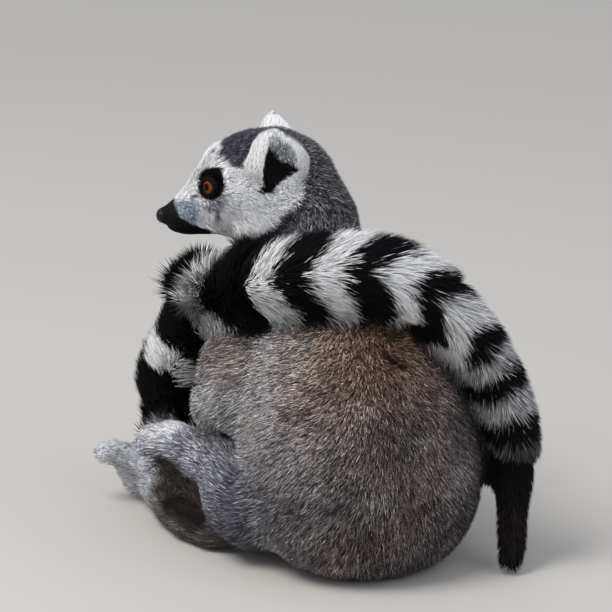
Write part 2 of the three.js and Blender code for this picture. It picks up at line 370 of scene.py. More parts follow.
depth = np.where(IS_HEAD, depth + 1.6 * (1 - ease(eye_gap, 8.5, 12.5)), depth)

STEPS = 8
for _ in range(STEPS):
    skin.p = skin.p - skin.normals() * depth[:, None] / STEPS
    skin.p = skin.relax(skin.p, 1, np.clip(depth / 16, 0.04, 0.45))

# The line of the mouth.
mouth_at = to_head(skin.p)
mouth = np.interp(mouth_at[:, 0], [46, 54, 64, 72, 78], [-30.5, -31, -29.5, -27.8, -27])
mouth = np.exp(-(((mouth_at[:, 2] - mouth) / 0.8) ** 2)) * ease(mouth_at[:, 0], 46, 52) * IS_HEAD
skin.p = skin.p - skin.normals() * (0.7 * mouth)[:, None]

# -------------------- lie of the coat

normal = skin.normals()
lie = np.zeros_like(skin.p)
world = skin.p - MIDDLE


def along(mask, stations):
    """Lay the coat along a limb's middle line, on the left and on the right."""
    for s in (1, -1):
        here = mask & (np.sign(world[:, 0] + 1e-6) == s)
        course = Course(stations, flip=s)
        lie[here] = course.way[course.nearest(skin.p[here])]


# On the trunk it runs down from the shoulders and round the flanks to the belly.
round_body = np.stack([-(world[:, 1] - 15), world[:, 0], np.zeros(len(world))], axis=1)
round_body = unit(round_body) * np.sign(-world[:, 0:1])
turning = (ease(np.abs(world[:, 0]), 5, 60) * np.where(world[:, 0] > 0, 0.75, 0.4))[:, None]
lie[IS_TRUNK] = (np.array([0, 0.0, -1.0]) + turning * round_body)[IS_TRUNK]
lie[IS_NECK] = [0, 0.5, -1.0]

# On the tail it runs to the tip, and away on both sides from the line where it parts.
DORSAL = unit(np.array([0.46, 0.83, 0.31]))
PARTING_AT = [200, 235, 300, 350, 385, 450, 500]
PARTING = [0.3, 0.7, 0.7, 0.7, 0.3, 0.25, 0.42]
tail_way = tail.way[tail_at]
tail_out = skin.p - tail.at[tail_at]
tail_out = unit(tail_out - (tail_out * tail_way).sum(axis=1, keepdims=True) * tail_way)
parted = np.cross(tail_way, unit(DORSAL - (tail_way @ DORSAL)[:, None] * tail_way))
parted *= ((tail_out * parted).sum(axis=1) / 0.5).clip(-1, 1)[:, None]
parting = np.interp(tail.run[tail_at], PARTING_AT, PARTING)[:, None]
lie[IS_TAIL] = (tail_way + parting * parted)[IS_TAIL]

# On the head it runs back from the nose, and down over the cheeks.
back_of_head = way_from_head([-1, 0, -0.15])
outwards = np.sign(head_at[:, 1:2]) * way_from_head([0, 1, 0])
cheek = ease(-head_at[:, 2], 0, 25)[:, None]
lie[IS_HEAD] = (back_of_head - cheek * way_from_head([0, 0, 0.8]) + 0.3 * outwards)[IS_HEAD]
lie[IS_EAR] = (way_from_head([-0.15, 0, 1.0]) + 0.35 * outwards)[IS_EAR]

# On the limbs it runs down to the fingers and toes.
along(IS_THIGH, LEG)
along(IS_SHANK, SHANK)
along(IS_FOOT, FOOT)
along(IS_ARM, UPPER_ARM)
lie[IS_ARM] = 0.4 * lie[IS_ARM] + np.array([0.3, -0.8, -0.1])
along(IS_FOREARM, FOREARM)
lie[IS_HAND] = [0.0, -0.9, -0.4]
lie = unit(skin.relax(unit(lie), 14))
lie = unit(skin.relax(lie, 60, 0.6 * seam))

# A whorl on the back turns the hair round itself.
WHORL = np.array([0.0, 48.6, 145.5]) + MIDDLE
WHORL_SIZE = 13
from_whorl = skin.p - WHORL
whorl = np.exp(-((np.linalg.norm(from_whorl, axis=1) / WHORL_SIZE) ** 2))
round_whorl = np.cross(normal, unit(from_whorl)) + 0.6 * unit(from_whorl)
lie = unit(lie + 1.8 * whorl[:, None] * round_whorl)

# -------------------- markings

# Everyday colours of the coat, with the colours of its painted shade among them.
WHITE = (250, 251, 252)
SILVER = (138, 139, 146)
FLANK = (156, 154, 155)
CREAM = (152, 143, 130)
UMBER = (84, 66, 54)
TAWNY = (96, 73, 57)
RUST = (112, 74, 44)
FACE = (240, 241, 243)
CAP = (66, 67, 73)
NAPE = (82, 79, 81)
THROAT = (176, 172, 168)
AGOUTI = (107, 93, 86)
SLATE = (113, 106, 106)
RUFOUS = (58, 42, 33)
CHARCOAL_SHADE = (52, 50, 53)
FOLD_SHADE = (62, 62, 68)
THIGH_GREY = (52, 53, 60)
EYE_SHADE_GREY = (70, 74, 82)
BELLY = (196, 192, 188)
TOES = (206, 208, 214)
KNEE = (244, 245, 248)
INSTEP = (132, 127, 119)
CREASE_SHADOW = (17, 14, 13)
PARTING_SHADE = (16, 12, 10)
TAIL_TIP = (26, 22, 20)
HOLLOW_BROWN_SHADE = (50, 42, 36)
SHADED_HEEL_GREY = (88, 82, 79)
BLACK = (6, 6, 9)
LEATHER = (9, 9, 11)
BLUE_GREY = (108, 118, 134)
EAR_GREY = (150, 153, 160)

# The tail's white rings from its root to its tip: how white each is, and where it starts and ends
# along the tail at each of RING_ANGLES round it from the line where its hair parts.
RING_ANGLES = [-60, -30, 0, 30, 60]
STRAIGHT = np.ones(5)
RINGS = [
    (1, 22 * STRAIGHT, 38 * STRAIGHT),
    (1, 62 * STRAIGHT, 80 * STRAIGHT),
    (1, 106 * STRAIGHT, 124 * STRAIGHT),
    (1, 150 * STRAIGHT, 170 * STRAIGHT),
    (1, (231, 236, 244, 235, 228), (256, 263, 266, 258, 246)),
    (1, (348, 322, 318, 312, 302), (356, 346, 342, 350, 360)),
    (1, (401, 397, 389, 389, 385), (411, 411, 406, 407, 408)),
    (1, (436, 430, 424, 425, 428), (455, 448, 443, 442, 443)),
    (1, (473, 466, 461, 470, 480), (491, 483, 478, 486, 495)),
    (0.85, (508, 500, 494, 508, 523), (532, 526, 523, 532, 542)),
    (0.62, 543 * STRAIGHT, 557 * STRAIGHT),
    (0.6, 573 * STRAIGHT, 590 * STRAIGHT),
    (0.3, 606 * STRAIGHT, 616 * STRAIGHT),
]


def round_tail(turned, edge):
    """Where a ring's edge lies at each angle round the tail, from its places at RING_ANGLES."""
    under = (edge[0] + edge[-1]) / 2
    return np.interp(turned, [-180, *RING_ANGLES, 180], [under, *edge, under])


def tail_white(p, stagger):
    """How white the tail is at each point, from its rings, which run to a point where it parts."""
    at = tail.nearest(p)
    centre, way = tail.at[at], tail.way[at]
    along_it = ((p - centre) * way).sum(axis=1)
    out = p - centre - along_it[:, None] * way
    top = unit(DORSAL - (way @ DORSAL)[:, None] * way)
    turned = np.degrees(np.arctan2((out * np.cross(way, top)).sum(axis=1), (out * top).sum(axis=1)))
    run = tail.run[at] + along_it + ripple(p, 5) + 1.6 * ripple(p, 12, 2) + stagger
    white = np.zeros(len(p))
    for strength, start, end in RINGS:
        begun = ease(run - round_tail(turned, start), -1, 1)
        over = ease(run - round_tail(turned, end), -1, 1)
        white = np.maximum(white, strength * begun * (1 - over))
    return white


# Where the white face ends at the dark cap and nape, in millimetres above and ahead of the middle.
HEAD_BORDER_AT = [-36, -30, -21, -13.8, -4, 0, 6, 8.5, 13.5, 20, 26.5, 40]
HEAD_BORDER = [19, 13.5, 3.5, -6.5, -12, -12, 13, 32, 37.5, 39, 40.5, 41]
# Where the bare black muzzle starts, in the same way.
MUZZLE_AT = [-33, -29.3, -26.3, -22.4, -13.4, -8.4]
MUZZLE = [44, 46.7, 58, 64.8, 68.6, 67.6]
# Grey painted shade below and behind the eye: centre, half sizes and strength.
EYE_SHADES = [
    ((44.6, -16), (6, 3.4), 0.6),
    ((41.5, -21.6), (1.8, 3.4), 0.7),
    ((35.3, -29.4), (3.5, 2), 0.5),
    ((33.5, -8.6), (5.5, 1.3), 0.45),
    ((40.5, -13), (5, 2.2), 0.5),
    ((27, -22), (5, 1.2), 0.2),
]


def head_colours(p):
    """Face, eye patches, muzzle, cap and nape. The muzzle's bareness comes second."""
    x, z = profile(to_head(p))
    wander = 1.2 * ripple(p, 4) + ripple(p, 9, 1)
    edge = np.interp(z, HEAD_BORDER_AT, HEAD_BORDER)
    dark = ease(edge - x + 1.5 * wander, -2.5, 2.5)
    colour = blend(plain(FACE, p), CAP, dark)
    colour = blend(colour, NAPE, dark * ease(-x, -10, 20))
    colour = blend(colour, THROAT, ease(-to_head(p)[:, 2], 30, 44) * ease(x, 0, 12))
    shadow = np.exp(-(((edge - x - 5) / 5) ** 2)) * ease(-z, 12, 22)
    colour = blend(colour, BLACK, 0.6 * shadow)
    colour = blend(colour, BLUE_GREY, 0.75 * ease(x, 50, 57) * (1 - ease(z, -14, -9)))
    # Painted shade, grey, below and behind the eye.
    for centre, halves, strength in EYE_SHADES:
        eye_shade = 1 - ease(oval(x, z, centre, halves) + wander * 0.5, -1.5, 1.5)
        colour = blend(colour, EYE_SHADE_GREY, strength * eye_shade)
    patch = np.minimum(oval(x, z, (45.6, -1.4), (8.8, 10.2)), capsule(x, z, (46.5, 4), (43, 4.6), 4.3))
    mask = 1 - ease(patch + 0.5 * wander, -1, 1)
    streak = 1 - ease(capsule(x, z, (50, -8), (57, -9.5), 0.8) + 0.5 * wander, -1, 1)
    colour = blend(colour, LEATHER, np.maximum(mask, 0.6 * streak))
    bare = ease(x - np.interp(z, MUZZLE_AT, MUZZLE) + 0.4 * wander, -1.2, 1.2)
    return blend(colour, LEATHER, bare), bare


# The ear's bare hollow, painted black as its shadow, and the grey hair above it, as corners ahead of and
# above its middle.
EAR_SHADOW = [
    (9.7, 20.3), (1.1, 12.6), (-6.2, 8.7), (-8.7, 6.2), (1.1, 0.4), (6.1, -4.7), (7.3, -8.6),
    (15.9, -6.7), (13.4, -0.9), (13.1, 6.8), (11.6, 14.5),
]
EAR_HAIR = [(11.2, 28.6), (4, 27.4), (-2.5, 21.6), (-7.4, 12), (-6.2, 8.7), (1.1, 12.6), (9.7, 20.3)]
bowl = Course(EAR_BOWL, shift=0)


def ear_inside(p, on_ear):
    """How much of each point is the ear's hollow, painted black as its shadow, and how much the grey hair
    above it.
    """
    h = to_head(p)
    h[:, 1] = np.abs(h[:, 1])
    at = bowl.nearest(h)
    reach = np.linalg.norm(h - bowl.at[at], axis=1) / bowl.size[at]
    cup = np.where(on_ear > 0.3, 1 - ease(reach, 1.35, 1.6), ease(h[:, 1], 18, 22))
    x, z = profile(h)
    wander = 0.4 * ripple(p, 3)
    black = cup * (1 - ease(polygon(x, z, EAR_SHADOW) + wander, -0.6, 0.6))
    grey = cup * (1 - ease(polygon(x, z, EAR_HAIR) + wander, -0.8, 0.8))
    return black, grey * (1 - black)


def body_colours(p):
    """Back, flanks, belly and shoulders."""
    x, y, z = (p - MIDDLE).T
    colour = blend(plain(SLATE, p), AGOUTI, ease(z, 85, 130))
    # Painted shade: charcoal darkens the right side and the bottom of the body.
    colour = blend(colour, CHARCOAL_SHADE, 0.92 * ease(-x, 0, 70))
    colour = blend(colour, CHARCOAL_SHADE, 0.45 * (1 - ease(z, 15, 65)))
    colour = blend(colour, FLANK, 0.8 * ease(x, 26, 60) * ease(-y, -70, -5))
    # Patches of cream, umber and shadow, as the coat opens and closes over the curve of the body.
    middle = np.exp(-(((x - 10) / 45) ** 2))
    colour = blend(colour, UMBER, 0.25 * ease(ripple(p, 26, 3), 0, 0.9) * middle)
    colour = blend(colour, CREAM, 0.28 * ease(ripple(p, 20, 7), 0.15, 0.9) * ease(x, 0, 50))
    colour = colour * (1 + 0.16 * ripple(p, 9, 4) + 0.08 * ripple(p, 30, 1))[:, None]
    # The whorl is red-brown, and opens in partings darkened with painted shade.
    away = np.linalg.norm(p - WHORL, axis=1) / WHORL_SIZE
    swirl, behind = np.exp(-(away**2)), ease(y, 20, 40)
    colour = blend(colour, TAWNY, 0.5 * np.exp(-((away / 2.1) ** 2)))
    colour = blend(colour, RUFOUS, 0.65 * swirl)
    colour = blend(colour, RUST, 0.5 * swirl * ease(ripple(p, 4, 5), 0.2, 0.8) * behind)
    across, above = (p - WHORL) @ np.array([-0.866, 0.5, 0]), z - WHORL[2]
    slit = capsule(across, above, (1.5, -3), (11, -10), 1.0)
    parted = np.minimum(slit, capsule(across, above, (-1, 0), (-1.5, 4), 0.6)) + 1.2 * ripple(p, 3, 9)
    colour = blend(colour, PARTING_SHADE, 0.85 * (1 - ease(parted, -0.8, 1.4)) * behind)
    # Painted shade darkens the fold beside the thigh.
    fold_shade = np.stack([x - 76, y - 22, (z - 50) / 1.4]) / 26
    colour = blend(colour, FOLD_SHADE, 0.6 * np.exp(-(fold_shade**2).sum(axis=0)))
    return blend(colour, BELLY, 0.85 * ease(-y, 10, 35))


def limb_colours(p, shares):
    """Silver limbs with white fronts, brown and painted shade where the leg is folded on itself."""
    foot, hand, shank, leg, arm = shares.T / np.maximum(shares.sum(axis=1), 1e-6)
    out, ahead, high = ((p - MIDDLE) * (1, -1, 1)).T
    colour = blend(plain(SILVER, p), FLANK, arm * ease(high, 50, 80))
    colour = blend(colour, AGOUTI, 0.6 * arm * ease(high, 100, 130))
    colour = blend(colour, THIGH_GREY, 0.62 * leg * (1 - ease(ahead, -10, 70)))
    colour = colour * (1 + 0.12 * shank * ease(ahead, 50, 80))[:, None]
    # The heel's grey, darkened with painted shade.
    colour = blend(colour, SHADED_HEEL_GREY, foot * (1 - ease(ahead, 88, 112)))
    colour = blend(colour, INSTEP, 0.8 * foot * ease(ahead, 72, 96) * (1 - ease(ahead, 100, 116)))
    # The hollow of the folded leg is brown fur deepened with painted shade, with a painted shadow in its
    # crease.
    wander = 1.5 * ripple(p, 7, 6)
    hollow = 1 - ease(capsule(ahead, high, (108, 29), (45, 19), 9) + wander, -2, 2)
    crease = 1 - ease(capsule(ahead, high, (78, 20), (40, 18), 2.5) + wander, -2, 2)
    folded = (shank + leg + foot) * ease(np.abs(out), 52, 62)
    colour = blend(colour, HOLLOW_BROWN_SHADE, 0.92 * hollow * folded)
    colour = blend(colour, CREASE_SHADOW, 0.85 * crease * folded)
    knee = ease(ahead + 0.9 * (high - 40), 112, 130) * (shank + leg)
    pale = np.maximum(foot * ease(ahead, 96, 116), hand)
    colour = blend(colour, TOES, 0.88 * pale)
    colour = blend(colour, KNEE, 0.9 * knee)
    return colour * (1 + 0.12 * ripple(p, 8, 4))[:, None]


def coat_colour(p, shares, stagger=0.0):
    """The coat's colour at each point, from how much of each part of the body it has.

    How much of the point is bare muzzle, and how much the ear's hollow painted black as its shadow, come
    after it.
    """
    ringed = blend(plain(BLACK, p), TAIL_TIP, ease(tail.run[tail.nearest(p)], 615, 660))
    ringed = blend(ringed, WHITE, tail_white(p, stagger))
    face, bare = head_colours(p)
    head = shares[:, 1:3].sum(axis=1)
    black, grey = (value * head for value in ear_inside(p, shares[:, 2]))
    parts = [ringed, face, plain(WHITE, p), body_colours(p), limb_colours(p, shares[:, 5:])]
    on_tail, on_head, on_ear, on_trunk, on_neck = shares[:, :5].T
    amounts = [on_tail, on_head + on_neck, on_ear, on_trunk, shares[:, 5:].sum(axis=1)]
    total = sum(amounts) + 1e-9
    colour = sum(part * (amount / total)[:, None] for part, amount in zip(parts, amounts))
    colour = blend(colour, EAR_GREY, grey * ease(head, 0.2, 0.5))
    # The ear's hollow is painted black as its shadow.
    colour = blend(colour, LEATHER, black * ease(head, 0.2, 0.5))
    return colour, bare * shares[:, 1], black


# How much of each part of the body every point of the skin has.
PARTS = [IS_TAIL, IS_HEAD, IS_EAR, IS_TRUNK, IS_NECK, IS_FOOT, IS_HAND, IS_SHANK, IS_THIGH]
PARTS += [IS_ARM | IS_FOREARM]
weights = np.stack(PARTS, axis=1).astype(float)
# A small island of the tail's skin beside the whorl belongs to the back.
ISLAND, ISLAND_WAY = (-39.5, 57, 127.2), (0.476, 0.824, 0.309)
ISLAND_RADIUS, ISLAND_REACH = 5.5, 40
away = world - ISLAND
island = np.linalg.norm(np.cross(away, ISLAND_WAY), axis=1) < ISLAND_RADIUS
island &= np.linalg.norm(away, axis=1) <= ISLAND_REACH
weights[island & IS_TAIL] = np.eye(len(PARTS))[3]
weights = skin.relax(weights, 2)
BROAD = [3, 7, 8, 9]  # trunk, shank, thigh and arm run into each other
free = weights[:, BROAD].sum(axis=1, keepdims=True)
spread_out = skin.relax(weights[:, BROAD], 14)
weights[:, BROAD] = free * spread_out / np.maximum(spread_out.sum(axis=1, keepdims=True), 1e-6)
skin_colour, bare, inside = coat_colour(skin.p, weights)
# Painted shade darkens the coat in the creases between parts, but not on the head.
crease_shade = meeting * (1 - np.clip(skin.relax((IS_HEAD | IS_EAR | IS_NECK).astype(float), 4) * 2, 0, 1))


# -------------------- writing meshes


def finished(name, mesh, material):
    """A piece of the model from its mesh, on the one body."""
    obj = bpy.data.objects.new(name, mesh)
    bpy.context.scene.collection.objects.link(obj)
    mesh.materials.append(material)
    mesh.shade_smooth()
    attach(obj, "root")
    return obj


def mesh_from(bm, name):
    mesh = bpy.data.meshes.new(name)
    bm.to_mesh(mesh)
    bm.free()
    return mesh


def colour_layer(mesh, name, rgb):
    layer = mesh.attributes.new(name, "FLOAT_COLOR", "POINT")
    rgba = np.ones((len(rgb), 4), np.float32)
    rgba[:, :3] = linear(rgb)
    layer.data.foreach_set("color", rgba.ravel())


def value_layer(mesh, name, values):
    layer = mesh.attributes.new(name, "FLOAT", "POINT")
    layer.data.foreach_set("value", np.asarray(values, np.float32))


# -------------------- materials


def new_material(name, roughness, **inputs):
    """A material with the given values on its shader, whose names have _ for each space."""
    material = bpy.data.materials.new(name)
    material.use_nodes = True
    shader = material.node_tree.nodes["Principled BSDF"]
    shader.inputs["Roughness"].default_value = roughness
    for key, value in inputs.items():
        shader.inputs[key.replace("_", " ")].default_value = value
    return material, material.node_tree, shader


def add(tree, kind, links=None, **settings):
    """A node with its inputs or properties set, and linked from the given outputs."""
    node = tree.nodes.new(kind)
    for key, value in settings.items():
        if key in node.inputs:
            node.inputs[key].default_value = value
        else:
            setattr(node, key, value)
    for key, source in (links or {}).items():
        tree.links.new(source, node.inputs[key])
    return node


def shaded(tree, shader, colour, amount, take, give):
    """The base colour, times the amount stretched from the take range to the give range."""
    span = add(tree, "ShaderNodeMapRange", {"Value": amount})
    for key, value in zip(("From Min", "From Max", "To Min", "To Max"), (*take, *give)):
        span.inputs[key].default_value = value
    scaled = add(tree, "ShaderNodeVectorMath", operation="SCALE")
    tree.links.new(colour, scaled.inputs[0])
    tree.links.new(span.outputs["Result"], scaled.inputs["Scale"])
    tree.links.new(scaled.outputs["Vector"], shader.inputs["Base Color"])


def bumpy(tree, shader, height, strength, distance):
    raised = add(tree, "ShaderNodeBump", {"Height": height}, Strength=strength, Distance=distance)
    tree.links.new(raised.outputs["Normal"], shader.inputs["Normal"])


def ramp(tree, source, stops):
    """The colour at the source's place between the stops."""
    node = add(tree, "ShaderNodeValToRGB", {"Fac": source})
    points = node.color_ramp.elements
    while len(points) < len(stops):
        points.new(0.5)
    for point, (place, rgb) in zip(points, stops):
        point.position = place
        point.color = (*linear(rgb), 1)
    return node.outputs["Color"]


def mottled(name, roughness, specular, scale, give):
    """The marking's colour, lightened and darkened by fine noise of the given scale."""
    material, tree, shader = new_material(name, roughness, Specular_IOR_Level=specular)
    tone = add(tree, "ShaderNodeAttribute", attribute_name="tone")
    place = add(tree, "ShaderNodeTexCoord").outputs["Object"]
    grain = add(tree, "ShaderNodeTexNoise", {"Vector": place}, Scale=scale, Detail=3.0)
    shaded(tree, shader, tone.outputs["Color"], grain.outputs["Fac"], (0.3, 0.7), give)
    return material


def skin_finish():
    material = mottled("skin_under_the_coat", 0.6, 0.1, 900, (0.8, 1.2))
    tree = material.node_tree
    place = add(tree, "ShaderNodeTexCoord").outputs["Object"]
    fine = add(tree, "ShaderNodeTexNoise", {"Vector": place}, Scale=1500, Detail=4.0)
    bumpy(tree, tree.nodes["Principled BSDF"], fine.outputs["Fac"], 0.5, 0.0006)
    return material


def eye_finish():
    """Pupil, amber iris and dark rim by the tilt from the eye's axis, streaked by the spokes."""
    gloss = {"Coat_Weight": 0.08, "Coat_Roughness": 0.02, "Specular_IOR_Level": 0.04}
    material, tree, shader = new_material("eye", 0.12, **gloss)
    tilt = add(tree, "ShaderNodeAttribute", attribute_name="tilt")
    spoke = add(tree, "ShaderNodeAttribute", attribute_name="spoke")
    iris = ramp(tree, tilt.outputs["Fac"], [
        (0.0, (3, 3, 4)), (0.14, (4, 3, 4)), (0.17, (58, 24, 10)), (0.24, (128, 56, 18)),
        (0.33, (136, 62, 20)), (0.42, (88, 36, 13)), (0.47, (30, 14, 9)), (0.54, (14, 10, 9)),
        (1.0, (10, 8, 8)),
    ])
    shaded(tree, shader, iris, spoke.outputs["Fac"], (0, 1), (0.7, 1.15))
    return material


def nose_finish():
    """Black bare skin with a fine grain of cells."""
    material, tree, shader = new_material("black_leather_skin", 0.4, Specular_IOR_Level=0.22)
    place = add(tree, "ShaderNodeTexCoord").outputs["Object"]
    cells = add(tree, "ShaderNodeTexVoronoi", {"Vector": place}, Scale=1300.0).outputs["Distance"]
    grain = ramp(tree, cells, [(0.0, LEATHER), (0.6, (14, 14, 16)), (1.0, (5, 5, 6))])
    tree.links.new(grain, shader.inputs["Base Color"])
    bumpy(tree, shader, cells, 0.35, 0.0004)
    return material


def plain_finish(name, roughness, colour, specular):
    return new_material(name, roughness, Base_Color=(*colour, 1), Specular_IOR_Level=specular)[0]


SMOOTH = mottled("coat", 0.75, 0.12, 1400, (0.8, 1.2))
SPECKLED = mottled("speckled_coat", 0.75, 0.12, 850, (0.4, 1.55))

# -------------------- skin object

for v, p in zip(skin_bm.verts, skin.p):
    v.co = Vector(p) * MM
bmesh.ops.triangulate(skin_bm, faces=skin_bm.faces)
skin_mesh = mesh_from(skin_bm, "skin")
colour_layer(skin_mesh, "tone", skin_colour)
skin_obj = finished("skin", skin_mesh, skin_finish())
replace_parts(skin_obj, *FLESH)

bpy.context.view_layer.objects.active = skin_obj
skin_obj.select_set(True)
bpy.ops.object.mode_set(mode="EDIT")
bpy.ops.mesh.select_all(action="SELECT")
bpy.ops.uv.smart_project(angle_limit=math.radians(66), island_margin=0.002)
bpy.ops.object.mode_set(mode="OBJECT")
skin_obj.select_set(False)
skin_mesh.uv_layers[0].name = "OFBake"

skin_tris = np.empty(len(skin_mesh.polygons) * 3, int)
skin_mesh.polygons.foreach_get("vertices", skin_tris)
skin_tris = skin_tris.reshape(-1, 3)
unwrap = np.empty(len(skin_tris) * 6)
skin_mesh.uv_layers[0].data.foreach_get("uv", unwrap)
unwrap = unwrap.reshape(-1, 3, 2)

# -------------------- tufts


def tuft_shape():
    """One closed tuft: three-sided, from a point at its root to a point at its tip."""
    bm = bmesh.new()
    bmesh.ops.create_circle(bm, segments=3, radius=0.5, cap_ends=True)
    bmesh.ops.translate(bm, verts=bm.verts, vec=(0, 0, 0.4))
    bmesh.ops.poke(bm, faces=bm.faces)["verts"][0].co.z = 0.0
    copy = bmesh.ops.duplicate(bm, geom=bm.verts[:] + bm.edges[:] + bm.faces[:])
    for part in copy["geom"]:
        if isinstance(part, bmesh.types.BMVert) and part.co.z < 0.01:
            part.co.z = 1.0
    bmesh.ops.remove_doubles(bm, verts=bm.verts, dist=1e-5)
    bmesh.ops.recalc_face_normals(bm, faces=bm.faces)
    bm.verts.index_update()
    points = np.array([v.co for v in bm.verts])
    faces = np.array([[v.index for v in f.verts] for f in bm.faces])
    bm.free()
    return points, faces


TUFT = tuft_shape()
FLAT = 0.45  # a tuft's thickness for its width
SOFTNESS = (0.35, 0.65)  # how far a tuft is lit by its own shape, and by the body's


def scatter(share, count):
    """Roots spread over the skin in proportion to the share at each vertex."""
    a, b, c = (skin.p[skin_tris[:, k]] for k in range(3))
    area = np.linalg.norm(np.cross(b - a, c - a), axis=1) / 2
    weight = area * share[skin_tris].mean(axis=1)
    steps = (np.arange(count) + random.uniform(0, 1, count)) / count
    face = np.searchsorted(np.cumsum(weight) / weight.sum(), steps)
    face = np.clip(face, 0, len(skin_tris) - 1)
    r1, r2 = random.uniform(0, 1, (2, count))
    root = np.sqrt(r1)
    bary = np.stack([1 - root, root * (1 - r2), root * r2], axis=1)
    return face, bary


def at_root(values, face, bary):
    return (values[skin_tris[face]] * (bary[:, :, None] if values.ndim > 1 else bary)).sum(axis=1)


def coat(name, share, count, length, width, material=SMOOTH, clump=0.3, spread=0.14, stand=0.0,
         spiked=None, tone=0.22, ticked=0.0, seen=0.45, locks=16, stray=0.1, dark=0.55):
    """One piece of the coat: tufts of about this length and width where the share is.

    clump draws the tips in each of the locks together, spread sways the lie and stray unsettles it, stand
    makes roots steeper and spiked gives the share that stands out. tone varies the tufts' shades, ticked
    bands them, dark darkens their roots, partly as the hair's own dark base and partly as painted shade
    in the depth of the coat, and seen is where along a tuft its marking is read.
    """
    face, bary = scatter(share, count)
    root = at_root(skin.p, face, bary)
    n = unit(at_root(normal, face, bary))
    t = at_root(lie, face, bary)
    t = t + spread * np.stack([ripple(root, 11, k) for k in (0, 5, 9)], axis=1)
    t = t + stray * random.normal(size=t.shape)
    t = unit(t - (t * n).sum(axis=1, keepdims=True) * n)
    across = np.cross(n, t)
    crowded = at_root(meeting, face, bary)
    rise = at_root(depth, face, bary) * random.uniform(0.7, 1.08, count) * (1 - 0.5 * crowded)
    if spiked:
        # Some tufts stand out past their neighbours.
        standing = random.uniform(0, 1, count) < spiked(root)
        rise = np.where(standing, rise * 1.6, rise)
    long = length(root) if callable(length) else np.full(count, float(length))
    long = long * random.uniform(0.75, 1.15, count) * (1 - 0.35 * crowded)
    # The tuft leaves the skin steeply and lies down towards its tip.
    slope = np.clip(rise / long, 0.02, 0.95)
    first = np.clip(slope * 1.55 + stand, 0.05, 0.97)
    last = np.clip(2 * slope - first, -0.2, 0.9)
    start = t * np.sqrt(1 - first**2)[:, None] + n * first[:, None]
    end = t * np.sqrt(1 - last**2)[:, None] + n * last[:, None]
    bend = (end - start) / 2
    tip = root + long[:, None] * (start + bend)
    # Neighbours draw together into locks.
    picks = random.choice(count, max(2, count // locks), replace=False)
    seeds = KDTree(len(picks))
    for k, i in enumerate(picks):
        seeds.insert(root[i], k)
    seeds.balance()
    leader = picks[[seeds.find(r)[1] for r in root]]
    pull = (tip[leader] - tip) * clump
    pull -= n * np.minimum(0, (pull * n).sum(axis=1, keepdims=True)) * 0.5
    points, faces = TUFT
    wide = width(root) if callable(width) else np.full(count, float(width))
    wide = wide * random.uniform(0.7, 1.25, count)
    m = len(points)
    out = np.empty((count, m, 3))
    for k, (px, py, pz) in enumerate(points):
        line = root + long[:, None] * (start * pz + bend * pz**2) + pull * pz**2
        out[:, k] = line + across * (px * wide)[:, None] + n * (py * wide * FLAT)[:, None]
    out = out.reshape(-1, 3)
    out[:, 2] = np.maximum(out[:, 2], 0.25)
    # Colours: a darker root, partly the hair's own dark base and partly painted shade in the depth of the
    # coat, painted shade in the creases, the marking towards the tip, and each tuft a little its own.
    shares = at_root(weights, face, bary)
    stagger = random.normal(0, 2.2, count)
    shown = root + long[:, None] * (start * seen + bend * seen**2)
    colour = coat_colour(shown, shares, stagger)[0]
    own = np.exp(random.normal(0, 1, count) * tone)
    light = colour.mean(axis=1) / 255
    own = 1 + (own - 1) * np.clip(1.5 - light, 0.6, 1)
    height = points[:, 2]
    shade = np.interp(height, [0, 0.12, 0.45, 1], [dark, dark + 0.1, 1.0, 1.04])
    shades = np.tile(shade, (count, 1)) * (1 - 0.35 * at_root(crease_shade, face, bary))[:, None]
    if ticked:
        # Each tuft's middle and tip are banded light or dark apart from each other.
        tick = ticked * np.clip((1 - light) * 2.2, 0, 1)
        for part in (0.4, 1.0):
            kind = random.uniform(0, 1, count)
            band = np.where(kind < 0.35, 1 + 0.8 * tick, np.where(kind < 0.6, 1.0, 1 - 0.7 * tick))
            shades[:, np.abs(height - part) < 0.1] *= band[:, None]
    rgb = np.clip(colour[:, None, :] * (own[:, None] * shades)[:, :, None], 2, 252).reshape(-1, 3)
    # The baking map: a patch for each tuft at its root's place on the skin's unwrap.
    at = (unwrap[face] * bary[:, :, None]).sum(axis=1)
    patch = np.stack([points[:, 0] * 0.8 + 0.5, points[:, 2]], axis=1) * PATCH
    uv = at[:, None, :] + patch[None] - PATCH / 2
    mesh = bpy.data.meshes.new(name)
    index = (np.arange(count)[:, None, None] * m + faces[None]).reshape(-1, 3)
    mesh.vertices.add(len(out))
    mesh.vertices.foreach_set("co", (out * MM).ravel())
    mesh.loops.add(index.size)
    mesh.loops.foreach_set("vertex_index", index.ravel())
    mesh.polygons.add(len(index))
    mesh.polygons.foreach_set("loop_start", np.arange(0, index.size, 3))
    mesh.update(calc_edges=True)
    mesh.uv_layers.new(name="OFBake")
    mesh.uv_layers[0].data.foreach_set("uv", uv.reshape(-1, 2)[index.ravel()].ravel())
    colour_layer(mesh, "tone", rgb)
    finished(name, mesh, material)
    # Each tuft is lit mostly as the body under it is, which softens the coat.
    own_way = across[:, None] * points[None, :, 0:1] + n[:, None] * (points[None, :, 1:2] + 0.1)
    soft = unit(unit(own_way) * SOFTNESS[0] + (n + 0.25 * t)[:, None] * SOFTNESS[1])
    mesh.normals_split_custom_set_from_vertices(soft.reshape(-1, 3))


FEW = 1.0  # share of the tufts


def tail_hair(p):
    return tail.size[tail.nearest(p)] * 0.88


